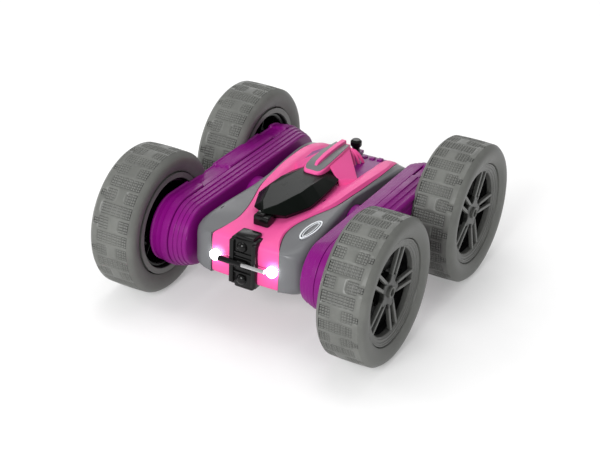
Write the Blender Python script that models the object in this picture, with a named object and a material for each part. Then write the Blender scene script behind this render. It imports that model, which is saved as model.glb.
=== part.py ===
"""A double-sided radio-controlled stunt car: a flat body between two arms that turn freely about one
cross axis, with two geared wheels on each arm.

Frame: metres, +Z up, the nose towards -Y and the car's left towards +X. The origin lies on the ground
below the middle of the car. The car looks the same with either side up, so all heights are counted from
the middle plane at the height of the axles.
"""

import math

import bmesh
import bpy
from mathutils import Vector

MM = 0.001
GAP = 0.3 * MM

# Driving dimensions
WHEEL_RADIUS = 36 * MM
WHEEL_X = 61.5 * MM
WHEEL_Y = 46.5 * MM
TYRE_HALF_WIDTH = 12.5 * MM
TYRE_BORE = 26 * MM
WHEEL_SIDES = 32
SPOKE_TURN = math.radians(22)
MID_Z = WHEEL_RADIUS
AXLE_ENDS_X = (31.4 * MM, 69 * MM)
AXLE_RADIUS = 1.3 * MM
AXLE_HOLE = 1.7 * MM
BUSH_RADIUS = 3.2 * MM

# Arms, as distances from the middle of the car
ARM_INNER_X = 31 * MM
ARM_SPLIT_X = 39.4 * MM
ARM_OUTER_X = 48 * MM
ARM_END_Y = 47.5 * MM
BOSS_RADIUS = 11 * MM
BOSS_FACE_X = 25 * MM
JOURNAL_RADIUS = 5.5 * MM
JOURNAL_GAP = 0.4 * MM
JOURNAL_END_X = 19.6 * MM
SHAFT_RADIUS = 1 * MM
SHAFT_HOLE = 1.8 * MM

# Gear train: one module for the fast pair, one for the slow train
FAST_MODULE = 1 * MM
SLOW_MODULE = 1.25 * MM
PINION_TEETH, LARGE_TEETH = 8, 20
SMALL_TEETH, IDLER_TEETH, AXLE_TEETH = 10, 13, 16
REDUCTION_Y = (PINION_TEETH + LARGE_TEETH) * FAST_MODULE / 2
IDLER_Y = REDUCTION_Y + (SMALL_TEETH + IDLER_TEETH) * SLOW_MODULE / 2
FAST_LAYER = (41.6 * MM, 44.4 * MM)
SLOW_LAYER = (35.6 * MM, 39.6 * MM)
BORE_RADIUS = 1.4 * MM

# Body: half width, half width of the pink centre, and height above the middle plane, along Y
HALF_WIDTH = ((-60, 30.0), (-51, 29.4), (-36, 28.2), (-15, 26.0), (3, 24.5), (11, 25.5), (28, 26.7),
              (50, 29.2), (56, 26.0))
CENTRE_WIDTH = ((-60, 18.5), (-45, 13.5), (-36, 14.0), (-26, 16.0), (-11, 22.0), (3, 23.0), (28, 25.0),
                (37, 25.0), (56, 21.0))
TOP_HEIGHT = ((-60, 11.0), (-45, 13.0), (-36, 14.0), (37, 14.0), (50, 12.0), (56, 10.5))
STATIONS = (-60, -51, -45, -36, -26, -11, 3, 11, 28, 37, 50, 56)
COVER_STATIONS = (-58.1, *STATIONS[1:])
CREASE_HEIGHT = 10 * MM
SCOOP_TOP = 26.5 * MM
KNOB_Y = 50.5 * MM
KNOB_BASE_Z = MID_Z + 14.1 * MM
SKIN = 1.6 * MM
NOSE_Y = -60 * MM

# Inner pieces
MOTOR_RADIUS = 7.7 * MM
MOTOR_X = (1 * MM, 19.2 * MM)
CELL_RADIUS = 7 * MM
CELL_Y = (26 * MM, 39 * MM)
CELL_HALF_LENGTH = 16.5 * MM
HATCH_SCREW_Y = 49.5 * MM
HEADLIGHT_X = 15.4 * MM
BAR_Y = -62.7 * MM
BAR_RADIUS = 1.1 * MM
BAR_HALF_LENGTH = 12.5 * MM
SWITCH_TRAVEL = 3 * MM

SIDES = {"left": 1, "right": -1}
ENDS = {"front": -1, "rear": 1}


def at(table, y_mm):
    """Reads a table of (y, value) in millimetres between its points, and gives metres."""
    for (y0, v0), (y1, v1) in zip(table, table[1:]):
        if y_mm <= y1:
            return (v0 + (v1 - v0) * (y_mm - y0) / (y1 - y0)) * MM
    return table[-1][1] * MM


def finish(name, colour, roughness, metallic=0.0, alpha=1.0):
    material = bpy.data.materials.new(name)
    material.use_nodes = True
    shader = material.node_tree.nodes["Principled BSDF"]
    shader.inputs["Base Color"].default_value = (*colour, 1.0)
    shader.inputs["Roughness"].default_value = roughness
    shader.inputs["Metallic"].default_value = metallic
    shader.inputs["Alpha"].default_value = alpha
    return material


def solid(name, points, faces, material=None, origin=(0, 0, 0), parent=None):
    """One object with its mesh given in world coordinates and its origin put on its joint's axis."""
    mesh = bpy.data.meshes.new(name)
    mesh.from_pydata([Vector(p) - Vector(origin) for p in points], [], faces)
    editor = bmesh.new()
    editor.from_mesh(mesh)
    bmesh.ops.recalc_face_normals(editor, faces=editor.faces)
    editor.to_mesh(mesh)
    editor.free()
    obj = bpy.data.objects.new(name, mesh)
    obj.location = origin
    if parent:
        obj.parent = parent
        obj.location = Vector(origin) - parent.location
    if material:
        mesh.materials.append(material)
    bpy.context.scene.collection.objects.link(obj)
    return obj


def combine(obj, operation, *others):
    """Adds the other objects to this one or cuts them from it, and removes them."""
    for other in others:
        modifier = obj.modifiers.new("combine", "BOOLEAN")
        modifier.operation = operation
        modifier.object = other
        bpy.context.view_layer.update()
        graph = bpy.context.evaluated_depsgraph_get()
        result = bpy.data.meshes.new_from_object(obj.evaluated_get(graph))
        obj.modifiers.clear()
        old, obj.data = obj.data, result
        result.name = obj.name
        bpy.data.meshes.remove(old)
        bpy.data.objects.remove(other)
    return obj


def loft(rings):
    """Points and faces of a closed body through rings of equal count, capped at both ends."""
    count = len(rings[0])
    points = [p for ring in rings for p in ring]
    faces = [list(range(count)), [(len(rings) - 1) * count + k for k in range(count)]]
    for r in range(len(rings) - 1):
        for k in range(count):
            a, b = r * count + k, r * count + (k + 1) % count
            faces += [[a, b, b + count], [a, b + count, a + count]]
    return points, faces


def turned(profile, centre, side=1, sides=WHEEL_SIDES):
    """A closed profile of (x, radius) turned about the X axis through centre; x runs outboard."""
    rings = []
    for k in range(sides):
        angle = 2 * math.pi * (k + 0.5) / sides
        rings.append([(centre[0] + side * x, centre[1] + r * math.sin(angle), centre[2] - r * math.cos(angle))
                      for x, r in profile])
    count = len(profile)
    points = [p for ring in rings for p in ring]
    faces = []
    for r in range(sides):
        for k in range(count):
            a, b = r * count + k, r * count + (k + 1) % count
            c, d = (r + 1) % sides * count + (k + 1) % count, (r + 1) % sides * count + k
            faces.append([a, b, c, d])
    return points, faces


def rod(x0, x1, radius, y, z=MID_Z, sides=8, side=1):
    """A straight round bar along X."""
    angles = [2 * math.pi * k / sides for k in range(sides)]
    return loft([[(side * x, y + radius * math.cos(a), z + radius * math.sin(a)) for a in angles]
                 for x in (x0, x1)])


def block(low, high):
    """A box from its lowest to its highest corner."""
    return loft([[(low[0], low[1], z), (high[0], low[1], z), (high[0], high[1], z), (low[0], high[1], z)]
                 for z in (low[2], high[2])])


def tool(shape):
    """A helper body for combine."""
    return solid("tool", *shape)


def gear_outline(teeth, module, first_angle):
    """Trapezoid teeth with running clearance; a tooth's middle lies at first_angle from +Y."""
    pitch = teeth * module / 2
    outer, root = pitch + 0.85 * module, pitch - 1.15 * module
    step = 2 * math.pi / teeth
    outline = []
    for tooth in range(teeth):
        middle = first_angle + tooth * step
        for offset, radius in ((-0.27, root), (-0.1, outer), (0.1, outer), (0.27, root)):
            angle = middle + offset * step
            outline.append((radius * math.cos(angle), radius * math.sin(angle)))
    return outline


def toothed(teeth, module, layer, y, first_angle, side):
    outline = gear_outline(teeth, module, first_angle)
    return loft([[(side * x, y + dy, MID_Z + dz) for dy, dz in outline] for x in layer])


def stadium(x, radius, centre_y=ARM_END_Y, corners=8):
    """The arm's outline at one distance from the middle of the car: two half circles and two straights."""
    ring = []
    for end in (1, -1):
        for k in range(corners + 1):
            angle = -math.pi / 2 + math.pi * k / corners
            y, h = centre_y + radius * math.cos(angle), radius * math.sin(angle)
            ring.append((x, end * y, MID_Z + end * h))
    return ring


def turned_over(obj, name):
    """A copy of a piece of the upper side, mirrored to the lower side."""
    points = [obj.matrix_world @ v.co for v in obj.data.vertices]
    points = [(p.x, p.y, 2 * MID_Z - p.z) for p in points]
    faces = [list(polygon.vertices) for polygon in obj.data.polygons]
    return solid(name, points, faces, obj.active_material)


# Wheels ---------------------------------------------------------------------------------------

def make_tyre(name, centre, side, pivot):
    half, bore, tread = TYRE_HALF_WIDTH, TYRE_BORE, WHEEL_RADIUS
    flats = 1 / math.cos(math.pi / WHEEL_SIDES)
    shape = [(10.6 * MM, bore), (half, 30.5 * MM), (10.8 * MM, 34.8 * MM), (8 * MM, tread)]
    profile = shape + [(-x, r) for x, r in reversed(shape)]
    profile = [(x, r * flats) for x, r in profile]
    return solid(name, *turned(profile, centre, side), RUBBER, centre, pivot)


def make_rim(name, centre, side, pivot):
    """A barrel, a hub and five pairs of spokes."""
    outer = TYRE_BORE - GAP
    barrel = [(10.3 * MM, outer), (10.3 * MM, 24 * MM), (8.6 * MM, 22.6 * MM),
              (-11.5 * MM, 22.6 * MM), (-11.5 * MM, outer)]
    rim = solid(name, *turned(barrel, centre, side), RIM_PLASTIC, centre, pivot)
    hub = [(8.9 * MM, 5.5 * MM), (8.9 * MM, 2.2 * MM), (3.6 * MM, 2.2 * MM), (3.6 * MM, 5.5 * MM)]
    spokes = []
    for k in range(10):
        middle = 2 * math.pi * (k // 2) / 5 + math.pi / 2 - side * SPOKE_TURN
        which = -1 if k % 2 else 1
        outward = Vector((0, math.cos(middle), math.sin(middle)))
        across = Vector((0, -math.sin(middle), math.cos(middle))) * MM
        inner = outward * 4.6 * MM + which * 1.9 * across
        tip = outward * 23.4 * MM + which * 3.2 * across
        rings = []
        for end, x0, x1 in ((inner, 4.6, 8.3), (tip, 5.6, 9.0)):
            corner = Vector(centre) + end
            rings.append([corner + s * across + Vector((side * x * MM, 0, 0))
                          for s, x in ((-1, x0), (1, x0), (1, x1), (-1, x1))])
        spokes.append(tool(loft(rings)))
    return combine(rim, "UNION", tool(turned(hub, centre, side, 16)), *spokes)


def make_dish(name, centre, side, pivot):
    """The black wheel centre behind the spokes, with its hub on the axle."""
    profile = [(3.0 * MM, 22.1 * MM), (3.0 * MM, 1.7 * MM), (-7 * MM, 1.7 * MM), (-7 * MM, 4.6 * MM),
               (0.8 * MM, 5.4 * MM), (0.8 * MM, 20.6 * MM), (-9.5 * MM, 20.9 * MM), (-9.5 * MM, 22.1 * MM)]
    return solid(name, *turned(profile, centre, side, 20), BLACK_PLASTIC, centre, pivot)


def make_wheel(label, side, end, pivot):
    centre = (side * WHEEL_X, end * WHEEL_Y, MID_Z)
    make_tyre(f"{label}_tyre", centre, side, pivot)
    make_rim(f"{label}_rim", centre, side, pivot)
    make_dish(f"{label}_wheel_centre", centre, side, pivot)
    y = end * WHEEL_Y
    solid(f"{label}_axle", *rod(*AXLE_ENDS_X, AXLE_RADIUS, y, side=side, sides=10), STEEL, centre, pivot)
    facing = math.pi if end > 0 else 0.0
    gear = solid(f"{label}_axle_gear", *toothed(AXLE_TEETH, SLOW_MODULE, SLOW_LAYER, y,
                 facing + math.pi / AXLE_TEETH, side), GEAR_PLASTIC, centre, pivot)
    combine(gear, "DIFFERENCE", tool(rod(30 * MM, 50 * MM, AXLE_HOLE, y, side=side, sides=10)))
    bush = [(50.9 * MM, BUSH_RADIUS), (50.9 * MM, 1.75 * MM), (47.0 * MM, 1.75 * MM), (47.0 * MM, BUSH_RADIUS)]
    solid(f"{label}_axle_bush", *turned(bush, (0, y, MID_Z), side, 12), BRASS, centre, pivot)


# Arms -----------------------------------------------------------------------------------------

def make_outer_shell(name, side, pivot):
    rings = [(ARM_OUTER_X, 16.6), (47.2 * MM, 17.9), (45.6 * MM, 18.5), (40.4 * MM, 18.3), (39.7 * MM, 17.5),
             (39.7 * MM, 15.6), (44.6 * MM, 16.6), (46.3 * MM, 15.8)]
    shell = solid(name, *loft([stadium(side * x, r * MM) for x, r in rings]), PURPLE_PLASTIC,
                  pivot.location, pivot)
    for end in (-1, 1):
        y = end * WHEEL_Y
        combine(shell, "UNION", tool(rod(46.5 * MM, 51.2 * MM, 4.6 * MM, y, side=side, sides=16)))
        combine(shell, "DIFFERENCE", tool(rod(45 * MM, 53 * MM, BUSH_RADIUS + GAP, y, side=side, sides=16)))
    return shell


def make_inner_shell(name, side, pivot):
    """The inner half of the arm, with the gear posts and the hollow journal that the body holds."""
    rings = [(ARM_INNER_X, 13.0), (31.8 * MM, 14.2), (34.2 * MM, 14.8), (34.9 * MM, 14.2), (35.3 * MM, 16.4),
             (38.6 * MM, 17.0), (ARM_SPLIT_X, 16.4), (ARM_SPLIT_X, 15.2), (36.2 * MM, 14.6),
             (34.6 * MM, 12.9), (32.6 * MM, 12.4)]
    shell = solid(name, *loft([stadium(side * x, r * MM) for x, r in rings]), PURPLE_PLASTIC,
                  pivot.location, pivot)
    boss = tool(rod(BOSS_FACE_X, 32 * MM, BOSS_RADIUS, 0, side=side, sides=24))
    journal = tool(rod(JOURNAL_END_X, 26 * MM, JOURNAL_RADIUS, 0, side=side, sides=20))
    collar = tool(rod(JOURNAL_END_X, JOURNAL_END_X + 1.1 * MM, JOURNAL_RADIUS + 1.8 * MM, 0, side=side,
                      sides=20))
    posts = [tool(rod(32 * MM, 45.6 * MM, SHAFT_RADIUS, y, side=side))
             for y in (-IDLER_Y, -REDUCTION_Y, REDUCTION_Y, IDLER_Y)]
    seats = [tool(rod(31.9 * MM, 35.2 * MM, 3.2 * MM, end * WHEEL_Y, side=side, sides=12))
             for end in (-1, 1)]
    combine(shell, "UNION", boss, journal, collar, *posts, *seats)
    holes = [tool(rod(18 * MM, 35 * MM, SHAFT_HOLE, 0, side=side, sides=12))]
    holes += [tool(rod(30 * MM, 36 * MM, AXLE_HOLE, end * WHEEL_Y, side=side, sides=10)) for end in (-1, 1)]
    return combine(shell, "DIFFERENCE", *holes)


def make_gears(label, side, pivot):
    pinion = solid(f"{label}_motor_pinion", *toothed(PINION_TEETH, FAST_MODULE, FAST_LAYER, 0, 0.0, side),
                   BRASS, (side * 43 * MM, 0, MID_Z), pivot)
    combine(pinion, "UNION", tool(rod(MOTOR_X[1] + GAP, 45.4 * MM, SHAFT_RADIUS, 0, side=side)))
    for word, end in ENDS.items():
        facing = 0.0 if end > 0 else math.pi
        origin = (side * 40 * MM, end * REDUCTION_Y, MID_Z)
        large = solid(f"{label}_{word}_reduction_gear", *toothed(LARGE_TEETH, FAST_MODULE, FAST_LAYER,
                      end * REDUCTION_Y, math.pi / LARGE_TEETH, side), GEAR_PLASTIC, origin, pivot)
        small = tool(toothed(SMALL_TEETH, SLOW_MODULE, (SLOW_LAYER[0], 42 * MM), end * REDUCTION_Y,
                             facing, side))
        combine(large, "UNION", small)
        combine(large, "DIFFERENCE", tool(rod(34 * MM, 46 * MM, BORE_RADIUS, end * REDUCTION_Y, side=side)))
        idler = solid(f"{label}_{word}_idler_gear", *toothed(IDLER_TEETH, SLOW_MODULE, SLOW_LAYER,
                      end * IDLER_Y, facing, side), GEAR_PLASTIC, (side * 38 * MM, end * IDLER_Y, MID_Z), pivot)
        combine(idler, "DIFFERENCE", tool(rod(34 * MM, 46 * MM, BORE_RADIUS, end * IDLER_Y, side=side)))


def make_arm(label, side):
    pivot = bpy.data.objects.new(f"{label}_arm_pivot", None)
    pivot.location = (side * ARM_INNER_X, 0, MID_Z)
    bpy.context.scene.collection.objects.link(pivot)
    bpy.context.view_layer.update()
    make_outer_shell(f"{label}_arm_outer_shell", side, pivot)
    make_inner_shell(f"{label}_arm_inner_shell", side, pivot)
    make_gears(label, side, pivot)
    for word, end in ENDS.items():
        make_wheel(f"{label}_{word}", side, end, pivot)


# Body -----------------------------------------------------------------------------------------

def section_loft(section, stations):
    """A body through closed sections, each a list of (x, height above the middle plane) at one y."""
    return loft([[(x, y * MM, MID_Z + h) for x, h in section(y)] for y in stations])


def cover_section(inset, drop, base):
    """Half a body across: flat centre, a step down under the side panels, and straight sides."""
    def section(y):
        width, centre = at(HALF_WIDTH, y) - SKIN - GAP - inset, at(CENTRE_WIDTH, y) - GAP - inset
        centre = min(centre, width - 0.8 * MM)
        top = at(TOP_HEIGHT, y) - drop
        step = top - SKIN - GAP
        edge = CREASE_HEIGHT - SKIN - GAP - drop
        right = [(width, base), (width, edge), (centre, step), (centre, top)]
        return [(x, h) for x, h in right] + [(-x, h) for x, h in reversed(right)]
    return section


def make_upper_cover():
    cover = solid("upper_cover", *section_loft(cover_section(0, 0, GAP / 2), COVER_STATIONS), PINK_PLASTIC)
    nose = loft([[(x, y, MID_Z + h) for x, h in ((-half, GAP / 2), (half, GAP / 2), (half, top), (-half, top))]
                 for y, half, top in ((NOSE_Y, 18.2 * MM, 10.6 * MM), (-57 * MM, 17.2 * MM, 11 * MM))])
    rails = []
    for side in (1, -1):
        rings = []
        for y, low_x, high_x, top in ((-6, 19.2, 20.6, 14.2), (4, 18.4, 22.4, 17), (37, 20, 24.2, 17),
                                      (52, 18.6, 21.4, 13)):
            corners = ((low_x, 10), (high_x, 10), (high_x - 0.6, top), (low_x + 0.6, top))
            rings.append([(side * x * MM, y * MM, MID_Z + h * MM) for x, h in corners])
        rails.append(tool(loft(rings)))
    combine(cover, "UNION", tool(nose), *rails)
    hollow = section_loft(cover_section(SKIN, 1.8 * MM, -MM), (-56.4, *STATIONS[1:-2], 48, 53))
    combine(cover, "DIFFERENCE", tool(hollow))
    ribs = [tool(block((side * 10 * MM - 0.8 * MM, -10 * MM, MID_Z + GAP / 2),
                       (side * 10 * MM + 0.8 * MM, 10 * MM, MID_Z + 13 * MM))) for side in (1, -1)]
    combine(cover, "UNION", *ribs)
    combine(cover, "DIFFERENCE", tool(rod(-18 * MM, 18 * MM, MOTOR_RADIUS + JOURNAL_GAP, 0, sides=24)))
    for side in (1, -1):
        journal = tool(rod(18.5 * MM, 27 * MM, JOURNAL_RADIUS + JOURNAL_GAP, 0, side=side, sides=20))
        light = lengthwise((side * HEADLIGHT_X, MID_Z), 2.4 * MM, -62 * MM, -55 * MM)
        combine(cover, "DIFFERENCE", journal, tool(light))
    slot = block((-4.6 * MM, 50 * MM, MID_Z - MM), (4.6 * MM, 58 * MM, MID_Z + 1.5 * MM))
    return combine(cover, "DIFFERENCE", tool(slot))


def lengthwise(centre, radius, y0, y1, sides=12):
    """A straight round bar along Y through centre, given as (x, z)."""
    angles = [2 * math.pi * k / sides for k in range(sides)]
    return loft([[(centre[0] + radius * math.cos(a), y, centre[1] + radius * math.sin(a)) for a in angles]
                 for y in (y0, y1)])


def make_side_panel(name, side):
    """A grey skin from the nose corner along the side to the tail, over both covers."""
    def outside(y):
        width, centre, top = at(HALF_WIDTH, y), at(CENTRE_WIDTH, y), at(TOP_HEIGHT, y)
        centre = min(centre, width - 2 * MM)
        upper = [(centre, top), (width - MM, CREASE_HEIGHT + 0.6 * MM), (width, CREASE_HEIGHT - 0.6 * MM)]
        return [(side * x, h) for x, h in upper + [(x, -h) for x, h in reversed(upper)]]

    panel = solid(name, *section_loft(outside, STATIONS), GREY_PLASTIC)
    stations = (COVER_STATIONS[0] - 0.3, *COVER_STATIONS[1:-1], 56.2)
    room = section_loft(cover_section(-GAP, -GAP, -MM), stations)
    upper_room = tool(room)
    lower_room = turned_over(upper_room, "tool")
    combine(panel, "DIFFERENCE", upper_room, lower_room)
    dish = tool(rod(24.6 * MM, 32 * MM, BOSS_RADIUS + 0.6 * MM, 0, side=side, sides=24))
    hole = tool(rod(15 * MM, 32 * MM, JOURNAL_RADIUS + JOURNAL_GAP, 0, side=side, sides=20))
    return combine(panel, "DIFFERENCE", dish, hole)


def make_rear_deck():
    """The purple plate between the rails, stepping down to the tail."""
    rings = []
    for y, half, low, high in ((17.2, 17.6, 14.3, 15.4), (37, 17.6, 14.3, 15.4), (44, 17.8, 13.3, 14.8),
                               (50, 17.2, 12.3, 13.6), (55.6, 15.5, 11.0, 12.0)):
        rings.append([(x * MM, y * MM, MID_Z + h * MM) for x, h in
                      ((-half, low), (half, low), (half, high), (-half, high))])
    return solid("upper_rear_deck", *loft(rings), PURPLE_PLASTIC)


def make_canopy():
    """The faceted smoked canopy: a foot, a shoulder that overhangs it, and a ridge."""
    foot = ((0, -40, 14.3), (8.5, -34, 14.3), (13, -22, 14.3), (13, -12, 14.3), (11.5, 6, 14.3), (8, 14, 14.3))
    shoulder = ((0, -45, 20), (9.6, -38, 18), (14.5, -24, 18), (14.5, -14, 18), (12.8, 8, 17.5), (9, 16, 17))
    ridge = ((0, -43, 21.2), (3.6, -35, 22.3), (6.4, -23, 23.5), (6.4, -13, 23), (5.5, -1, 19.9),
             (4.5, 14, 18.2))
    rings = []
    for ring in (foot, shoulder, ridge):
        left = [(-x, y, h) for x, y, h in reversed(ring[1:])]
        rings.append([(x * MM, y * MM, MID_Z + h * MM) for x, y, h in (*ring, *left)])
    return solid("upper_canopy", *loft(rings), SMOKED_PLASTIC)


def make_scoop():
    """The roof scoop over the canopy's rear, on a foot and two swept pillars."""
    lip = []
    for y, half, low, high in ((2, 3.0, 20.6, 22.5), (4.5, 5.0, 20.4, 26), (12, 5.2, 20.3, SCOOP_TOP / MM),
                               (37, 4.4, 20.3, 24.5)):
        lip.append([(x * MM, y * MM, MID_Z + h * MM) for x, h in
                    ((-half, low), (half, low), (half, high - 1.5), (0.6 * half, high), (-0.6 * half, high),
                     (-half, high - 1.5))])
    scoop = solid("upper_scoop", *loft(lip), PINK_PLASTIC)
    foot = tool(block((-3.6 * MM, 19 * MM, MID_Z + 15.7 * MM), (3.6 * MM, 36.5 * MM, MID_Z + 21 * MM)))
    pillars = []
    for side in (1, -1):
        rings = []
        for x, y, low, high, half in ((1, 33.5, 17.6, 21.4, 3.2), (9, 26, 16.2, 20, 3.2),
                                      (16.4, 20.6, 15.7, 17.4, 2.6)):
            rings.append([(side * x * MM, (y + s * half) * MM, MID_Z + h * MM)
                          for s, h in ((-1, low), (1, low), (1, high), (-1, high))])
        pillars.append(tool(loft(rings)))
    return combine(scoop, "UNION", foot, *pillars)


def make_nose():
    """The black grille over the nose and the light bar across it."""
    chamfer = ((-7.5, 10), (-5, 14), (5, 14), (7.5, 10), (7.5, -10), (5, -14), (-5, -14), (-7.5, -10))
    grille = solid("nose_grille", *loft([[(x * MM, y * MM, MID_Z + h * MM) for x, h in chamfer]
                                         for y in (BAR_Y / MM + 0.1, NOSE_Y / MM - 0.3)]), BLACK_PLASTIC)
    for turn in (1, -1):
        wing = [(-5, 13.4), (5, 13.4), (5, 15.4), (-5, 15.4)]
        combine(grille, "UNION", tool(loft([[(x * MM, y * MM, MID_Z + turn * h * MM) for x, h in wing]
                                            for y in (-61.5, -49)])))
    groove = tool(rod(-9 * MM, 9 * MM, BAR_RADIUS + 0.4 * MM, BAR_Y + 0.1 * MM, sides=12))
    combine(grille, "DIFFERENCE", groove)
    solid("bumper_bar", *rod(-BAR_HALF_LENGTH, BAR_HALF_LENGTH, BAR_RADIUS, BAR_Y, sides=10), CHROME)


def make_headlight(name, side):
    centre = (side * HEADLIGHT_X, MID_Z)
    lens = solid(name, *lengthwise(centre, 2.7 * MM, -61.9 * MM, NOSE_Y - GAP, 16), LENS)
    return combine(lens, "UNION", tool(lengthwise(centre, 2.0 * MM, -61 * MM, -54.5 * MM)))


def make_inner_pieces():
    board = solid("circuit_board", *block((-15 * MM, -50 * MM, MID_Z - 0.8 * MM),
                                          (15 * MM, -12 * MM, MID_Z + 0.8 * MM)), BOARD)
    chip = tool(block((-5 * MM, -36 * MM, MID_Z), (5 * MM, -26 * MM, MID_Z + 2.6 * MM)))
    crystal = tool(block((7 * MM, -44 * MM, MID_Z), (12 * MM, -41 * MM, MID_Z + 3.4 * MM)))
    combine(board, "UNION", chip, crystal)
    angles = [math.pi * k / 8 for k in range(9)]
    ring = [(CELL_Y[1] + CELL_RADIUS * math.sin(a), CELL_RADIUS * math.cos(a)) for a in angles]
    ring += [(CELL_Y[0] - CELL_RADIUS * math.sin(a), -CELL_RADIUS * math.cos(a)) for a in angles]
    solid("battery_pack", *loft([[(x, y, MID_Z + h) for y, h in ring]
                                 for x in (-CELL_HALF_LENGTH, CELL_HALF_LENGTH)]), SHRINK_WRAP)
    for label, side in SIDES.items():
        can = rod(MOTOR_X[0], MOTOR_X[1] - MM, MOTOR_RADIUS, 0, side=side, sides=20)
        motor = solid(f"{label}_motor", *can, STEEL)
        combine(motor, "UNION", tool(rod(17 * MM, MOTOR_X[1], 2.6 * MM, 0, side=side, sides=12)))
    knob_x = -SWITCH_TRAVEL / 2
    switch = solid("power_switch", *block((knob_x - 1.5 * MM, 53.4 * MM, MID_Z - 1.1 * MM),
                                          (knob_x + 1.5 * MM, 57.4 * MM, MID_Z + 1.1 * MM)), BLACK_PLASTIC,
                   (knob_x, 55 * MM, MID_Z))
    foot = tool(block((knob_x - 2.6 * MM, 50.4 * MM, MID_Z - 1.1 * MM),
                      (knob_x + 2.6 * MM, 52.6 * MM, MID_Z + 1.1 * MM)))
    neck = tool(block((knob_x - 1 * MM, 52 * MM, MID_Z - 0.9 * MM),
                      (knob_x + 1 * MM, 54 * MM, MID_Z + 0.9 * MM)))
    combine(switch, "UNION", neck, foot)


def upright(radius, y, z0, z1, sides=12):
    """A straight round bar along Z on the car's middle line."""
    angles = [2 * math.pi * k / sides for k in range(sides)]
    return loft([[(radius * math.cos(a), y + radius * math.sin(a), z) for a in angles] for z in (z0, z1)])


def hatch_screw_way():
    return upright(1.4 * MM, HATCH_SCREW_Y, MID_Z - 20 * MM, MID_Z - 5 * MM)


def make_hatch_screw():
    head_z = MID_Z - 14.6 * MM
    screw = solid("hatch_screw", *upright(2.4 * MM, HATCH_SCREW_Y, head_z - 1.1 * MM, head_z), STEEL)
    combine(screw, "UNION", tool(upright(1.0 * MM, HATCH_SCREW_Y, head_z - 0.5 * MM, MID_Z - 8.2 * MM, 8)))


def make_tail_knob():
    angles = [k * math.pi / 8 for k in range(16)]
    profile = [(0, 2.2), (2.2, 2.0), (3.4, 3.0), (5.6, 3.0), (6.6, 2.0)]
    rings = [[(r * MM * math.cos(a), KNOB_Y + r * MM * math.sin(a), KNOB_BASE_Z + h * MM) for a in angles]
             for h, r in profile]
    solid("tail_knob", *loft(rings), BLACK_PLASTIC)


def make_body():
    upper_cover = make_upper_cover()
    lower_cover = turned_over(upper_cover, "lower_cover")
    hatch_way = block((-17 * MM, 18.2 * MM, MID_Z - 20 * MM), (17 * MM, 46.8 * MM, MID_Z - 8 * MM))
    combine(lower_cover, "DIFFERENCE", tool(hatch_way), tool(hatch_screw_way()))
    for label, side in SIDES.items():
        make_side_panel(f"{label}_side_panel", side)
        make_headlight(f"{label}_headlight", side)
    hatch = turned_over(make_rear_deck(), "battery_hatch")
    combine(hatch, "DIFFERENCE", tool(hatch_screw_way()))
    make_hatch_screw()
    turned_over(make_canopy(), "lower_canopy")
    turned_over(make_scoop(), "lower_scoop")
    make_nose()
    make_inner_pieces()
    make_tail_knob()


for leftover in list(bpy.data.objects):
    bpy.data.objects.remove(leftover)

RUBBER = finish("tyre_rubber", (0.12, 0.12, 0.12), 0.75)
RIM_PLASTIC = finish("rim_plastic", (0.09, 0.09, 0.095), 0.45)
BLACK_PLASTIC = finish("black_plastic", (0.01, 0.01, 0.01), 0.4)
PURPLE_PLASTIC = finish("purple_plastic", (0.17, 0.012, 0.26), 0.25)
PINK_PLASTIC = finish("pink_plastic", (0.72, 0.09, 0.42), 0.3)
GREY_PLASTIC = finish("grey_plastic", (0.13, 0.13, 0.15), 0.35)
SMOKED_PLASTIC = finish("smoked_plastic", (0.01, 0.014, 0.012), 0.08)
GEAR_PLASTIC = finish("gear_plastic", (0.75, 0.75, 0.7), 0.5)
BRASS = finish("brass", (0.6, 0.42, 0.15), 0.3, 1.0)
STEEL = finish("steel", (0.5, 0.5, 0.5), 0.3, 1.0)
CHROME = finish("chrome", (0.8, 0.8, 0.8), 0.1, 1.0)
LENS = finish("headlight_lens", (0.95, 0.95, 0.95), 0.1)
BOARD = finish("board_green", (0.02, 0.2, 0.06), 0.5)
SHRINK_WRAP = finish("shrink_wrap", (0.02, 0.08, 0.4), 0.3)

make_body()
for arm_label, arm_side in SIDES.items():
    make_arm(arm_label, arm_side)
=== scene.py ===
"""The looks of a double-sided stunt car: grey tyres with studded treads, purple arms, a pink and grey body
under a smoked canopy, on a pale studio floor.

Shapes are given in millimetres from the middle of the car, with heights counted from the axles' height,
and are turned into metres where a mesh is made.
"""

import math

import bmesh
import bpy
from mathutils import Matrix, Vector

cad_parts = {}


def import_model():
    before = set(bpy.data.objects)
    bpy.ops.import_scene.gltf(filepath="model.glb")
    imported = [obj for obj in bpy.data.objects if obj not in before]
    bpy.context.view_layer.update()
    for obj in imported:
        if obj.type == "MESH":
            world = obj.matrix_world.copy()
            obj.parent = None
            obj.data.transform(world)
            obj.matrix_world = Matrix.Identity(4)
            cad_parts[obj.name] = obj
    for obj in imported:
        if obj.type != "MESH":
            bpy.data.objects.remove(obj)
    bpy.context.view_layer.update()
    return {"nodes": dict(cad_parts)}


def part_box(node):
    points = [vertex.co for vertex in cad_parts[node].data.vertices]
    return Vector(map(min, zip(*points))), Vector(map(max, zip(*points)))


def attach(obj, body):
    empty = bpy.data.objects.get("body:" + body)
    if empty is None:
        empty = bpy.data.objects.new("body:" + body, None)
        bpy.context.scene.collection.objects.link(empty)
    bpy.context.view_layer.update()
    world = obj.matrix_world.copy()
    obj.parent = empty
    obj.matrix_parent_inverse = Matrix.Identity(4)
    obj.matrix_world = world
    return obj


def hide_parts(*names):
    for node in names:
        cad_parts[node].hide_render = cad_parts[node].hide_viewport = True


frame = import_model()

MM = 0.001
tyre_low, tyre_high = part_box("left_front_tyre")
WHEEL = (tyre_low + tyre_high) / 2 / MM
MID_Z = WHEEL.z
GAP = 0.3

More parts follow.
